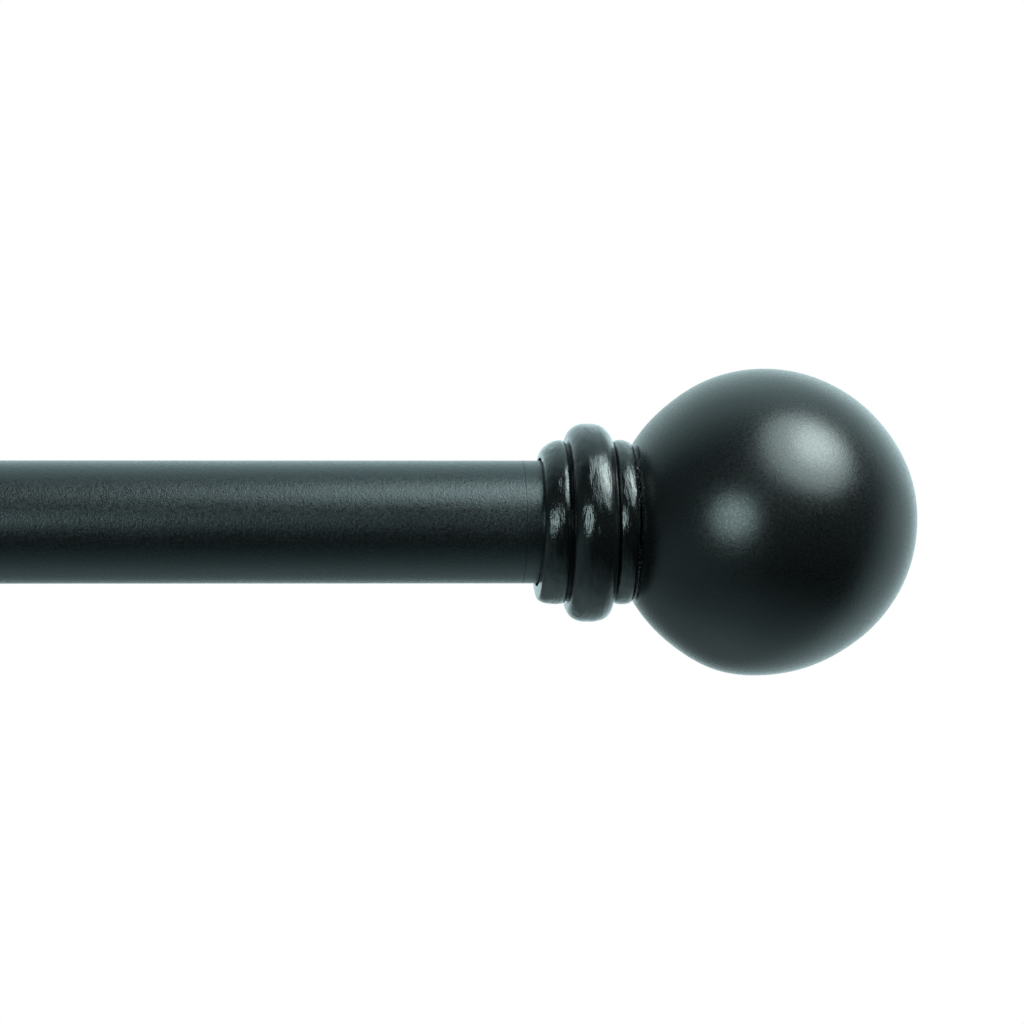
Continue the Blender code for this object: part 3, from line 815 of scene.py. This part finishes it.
def ring_points(radius, count, centre=(0, 0)):
    return [
        (centre[0] + radius * math.cos(math.tau * i / count), centre[1] + radius * math.sin(math.tau * i / count))
        for i in range(count)
    ]


def arm_solid():
    """The strip in its own frame: X is the model's Y and Y is its Z."""
    middle = CUP_R + ARM_T / 2
    y0 = -ROD_PROJECTION
    back_y = y0 + middle
    line = [(-15.0, ARM_Z)]
    line += arc(back_y + BEND_R, ARM_Z - BEND_R, BEND_R, 90, 180, 14)
    line += arc(y0, 0.0, middle, 0, -180, 56)
    line += [(y0 - middle, LIP_TOP_Z)]
    bm = extruded(strip_outline(line, ARM_T), ARM_W)
    slot = extruded(stadium(30.0, 2.2, 20), 12.0)
    bmesh.ops.transform(slot, verts=slot.verts, matrix=Matrix.Translation((CLAMP_Y * MM, ARM_Z * MM, 0)) @ Matrix.Rotation(math.pi / 2, 4, "X"))
    bush = rod_bm(3.1, 8.0, Matrix.Translation(((LIP_OUT_Y + 1.0) * MM, THUMB_Z * MM, 0)) @ Matrix.Rotation(math.pi / 2, 4, "Y"))
    return cut(bm, ("DIFFERENCE", slot), ("DIFFERENCE", bush))


def plate_solid():
    """The plate in its own frame: Y is the model's Z and Z is its -Y, about the plate's middle plane."""
    half = ARM_W / 2 + 0.3
    outer = half + CHANNEL_T
    floor_top = ARM_Z - ARM_T / 2 - 0.3
    front = 40.0
    holes = [ring_points(2.4, 48, (0, PLATE_MID_Z + s * SCREW_PITCH / 2)) for s in (1, -1)]
    bm = extruded(stadium(PLATE_H, PLATE_W / 2, 28, (0, PLATE_MID_Z), upright=True), PLATE_T, holes)
    line = rounded(
        [
            (-outer, 9.5, 0.3), (-outer, floor_top - CHANNEL_T, 1.5), (outer, floor_top - CHANNEL_T, 1.5), (outer, 9.5, 0.3),
            (half, 9.5, 0.2), (half, floor_top, 0.35), (-half, floor_top, 0.35), (-half, 9.5, 0.2),
        ],
        0.3, 5,
    )
    depth = front - PLATE_T / 2
    channel = extruded(line, depth, at=depth / 2)
    clamp = rod_bm(
        2.2, 6.0,
        Matrix.Translation((0, (floor_top - CHANNEL_T / 2) * MM, (-CLAMP_Y - PLATE_T / 2) * MM)) @ Matrix.Rotation(math.pi / 2, 4, "X"),
    )
    return cut(bm, ("UNION", channel), ("DIFFERENCE", clamp))


def screw_head(radius, height, length, major, pitch, matrix, tip_cone, rows=6):
    """A pan head with a cross recess on a threaded shank down local -Z, in one closed body."""
    profile = [(0.0, height)]
    profile += [
        (radius * math.sin(math.radians(a)), height * 0.35 + height * 0.65 * math.cos(math.radians(a)))
        for a in range(8, 91, 8)
    ]
    profile += [(radius, height * 0.35), (radius, 0.18), (radius - 0.16, 0.0), (major * 0.8, 0.0), (major * 0.8, -0.6), (0.0, -0.6)]
    head = lathe(profile, 56, placed(Matrix.Identity(4)), closed=False)
    reach, width, depth = radius * 0.60, radius * 0.12, height * 0.5
    steps = []
    for turn in (0, math.pi / 2):
        # a tapered wing of the cross recess
        wing = bmesh.new()
        bmesh.ops.create_cone(
            wing, cap_ends=True, segments=4, radius1=reach * 0.55 * math.sqrt(2) * MM, radius2=reach * math.sqrt(2) * MM,
            depth=depth * 2 * MM,
            matrix=Matrix.Rotation(turn, 4, "Z")
            @ Matrix.Translation((0, 0, height * MM))
            @ Matrix.Diagonal((1, width / reach, 1, 1))
            @ Matrix.Rotation(math.pi / 4, 4, "Z"),
        )
        steps.append(("DIFFERENCE", wing))
    thread = threaded(-length, -0.3, major, pitch, Matrix.Identity(4), segments=36, rows=rows, chamfer=0.4, tip_cone=tip_cone)
    steps.append(("UNION", thread))
    bm = cut(head, *steps)
    bmesh.ops.transform(bm, matrix=matrix, verts=bm.verts)
    return bm


def hex_nut(across_corners, bore, height, matrix):
    bm = extruded(ring_points(across_corners, 6), height, [ring_points(bore, 40)])
    # chamfered corners: the hexagon meets a shallow cone above and below
    cone = lathe(
        [(0.0, height / 2 + 2.0), (across_corners - 2.9, height / 2 + 2.0 - 0.4), (across_corners + 0.95, height / 2 - 0.62),
         (across_corners + 0.95, -height / 2 + 0.62), (across_corners - 2.9, -height / 2 - 1.6), (0.0, -height / 2 - 2.0)],
        64, placed(Matrix.Identity(4)), closed=False,
    )
    bm = cut(bm, ("INTERSECT", cone))
    bmesh.ops.remove_doubles(bm, verts=bm.verts, dist=1e-6)
    bmesh.ops.transform(bm, matrix=matrix, verts=bm.verts)
    return bm


FRONT = Matrix.Rotation(math.pi / 2, 4, "X")            # local +Z to the model's -Y

for side, sign in (("right", 1), ("left", -1)):
    low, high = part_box(f"{side}_wall_plate")
    bx = (low.x + high.x) / 2 / MM

    def at(x, y, z):
        return Matrix.Translation((x * MM, y * MM, z * MM))

    plate = bevelled(plate_solid(), 0.00022, 2, 40, at(bx, -PLATE_T / 2, 0) @ FRONT)
    piece(f"{side}_plate", plate, BRACKET, "wall_plates", [f"{side}_wall_plate"], 40, flats=True)
    arm = bevelled(arm_solid(), 0.00028, 3, 40, at(bx, 0, 0) @ SIDEWAYS)
    piece(f"{side}_arm", arm, BRACKET, f"{side}_arm", [f"{side}_bracket_arm"], 40, flats=True)

    for place, z in (("upper", PLATE_MID_Z + SCREW_PITCH / 2), ("lower", PLATE_MID_Z - SCREW_PITCH / 2)):
        turn = Matrix.Rotation(0.4 * sign + z * 0.3, 4, "Z")
        bm = screw_head(4.0, 2.4, 30.0, 2.0, 1.6, at(bx, -PLATE_T - 0.3, z) @ FRONT @ turn, 5.0)
        piece(f"{side}_screw_{place}", bm, STEEL, "wall_plates", [f"{side}_wall_screw_{place}"], 40)
        anchor = [(4.0, 0.0), (4.1, -0.1), (4.1, -0.9), (3.9, -1.05), (3.32, -1.4)]
        for rib in range(5):
            h = -4.0 - 4.0 * rib
            anchor += [(3.3, h + 0.15), (3.22, h), (2.98, h - 0.45), (3.0, h - 0.7), (3.28, h - 3.0)] if rib < 4 else [
                (3.3, h + 0.15), (3.22, h), (2.95, h - 0.5), (2.8, h - 3.0)]
        anchor += [(2.75, -25.2), (2.6, -25.5), (2.32, -25.5), (2.25, -25.4), (2.25, -0.15), (2.4, 0.0)]
        bm = lathe(anchor, 48, placed(at(bx, 2.3, z) @ FRONT))
        piece(f"{side}_anchor_{place}", bm, GREY, "wall_plates", [f"{side}_wall_anchor_{place}"], 35)

    bm = screw_head(3.9, 2.4, 9.4, 2.0, 0.7, at(bx, CLAMP_Y, 5.3) @ Matrix.Rotation(0.5 * sign, 4, "Z"), 0.0)
    piece(f"{side}_clamp", bm, STEEL, f"{side}_clamp", [f"{side}_clamp_screw"], 40)
    bm = hex_nut(4.04, 2.2, 3.2, at(bx, CLAMP_Y, -0.8))
    piece(f"{side}_nut", bm, STEEL, "wall_plates", [f"{side}_clamp_nut"], 30)

    thumb = at(bx, LIP_OUT_Y, THUMB_Z) @ FRONT
    bush = [(3.2, 2.7), (3.5, 2.6), (3.68, 2.35), (3.7, 2.1), (3.7, 0.45), (3.55, 0.3), (2.85, 0.3), (2.85, -1.5), (2.75, -1.6),
            (2.35, -1.6), (2.2, -1.45), (2.2, 2.55), (2.35, 2.7)]
    piece(f"{side}_bush", lathe(bush, 64, placed(thumb)), STEEL, f"{side}_arm", [f"{side}_thumbscrew_bush"], 35)
    bm = threaded(-2.0, 10.0, 2.0, 0.7, thumb, segments=36, rows=6, chamfer=0.5)
    piece(f"{side}_thumb_thread", bm, ZINC, f"{side}_thumb_shank", [f"{side}_thumbscrew_shank"], 50)

    knurls = 36
    knurl = []
    for i in range(knurls * 4):
        phase = i % 4
        r = (5.6, 5.6, 5.28, 5.28)[phase]
        knurl.append((r * math.cos(math.tau * i / (knurls * 4)), r * math.sin(math.tau * i / (knurls * 4))))
    bm = extruded(knurl, 4.8, [ring_points(2.05, 48)])
    round_off = lathe(
        [(0.0, 4.0), (3.4, 4.0), (4.4, 2.42), (5.15, 2.22), (5.65, 1.78), (5.7, -1.78), (5.15, -2.22), (4.4, -2.42), (3.4, -4.0), (0.0, -4.0)],
        72, placed(Matrix.Identity(4)), closed=False,
    )
    bm = cut(bm, ("INTERSECT", round_off))
    bmesh.ops.remove_doubles(bm, verts=bm.verts, dist=1e-6)
    bmesh.ops.transform(bm, matrix=thumb @ Matrix.Translation((0, 0, 7.6 * MM)), verts=bm.verts)
    piece(f"{side}_thumb_knob", bm, STEEL, f"{side}_thumb_head", [f"{side}_thumbscrew_head"], 28)


# ================================================================ floor
floor_mesh = bpy.data.meshes.new("floor")
bm = bmesh.new()
bmesh.ops.create_circle(bm, cap_ends=True, segments=96, radius=9.0)
bmesh.ops.translate(bm, verts=bm.verts, vec=(0, 0, -0.75))
bm.to_mesh(floor_mesh)
bm.free()
floor = bpy.data.objects.new("floor", floor_mesh)
scene.collection.objects.link(floor)
s = Shade("floor_pale", (0.86, 0.66, 0.64), 0.85)       # the room's light is cool, and the floor answers it to look white
s.shader.inputs["Emission Color"].default_value = (0.98, 1.0, 1.0, 1)
s.shader.inputs["Emission Strength"].default_value = 0.55
s.to("Roughness", s.ramp(s.noise(8, 3.0, 0.6), 0.3, 0.7, 0.8, 0.9))
floor_mesh.materials.append(s.mat)
floor.visible_glossy = False                            # it is seen, and takes shadows, but throws no light back up
floor.visible_diffuse = False
floor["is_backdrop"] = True

low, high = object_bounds()
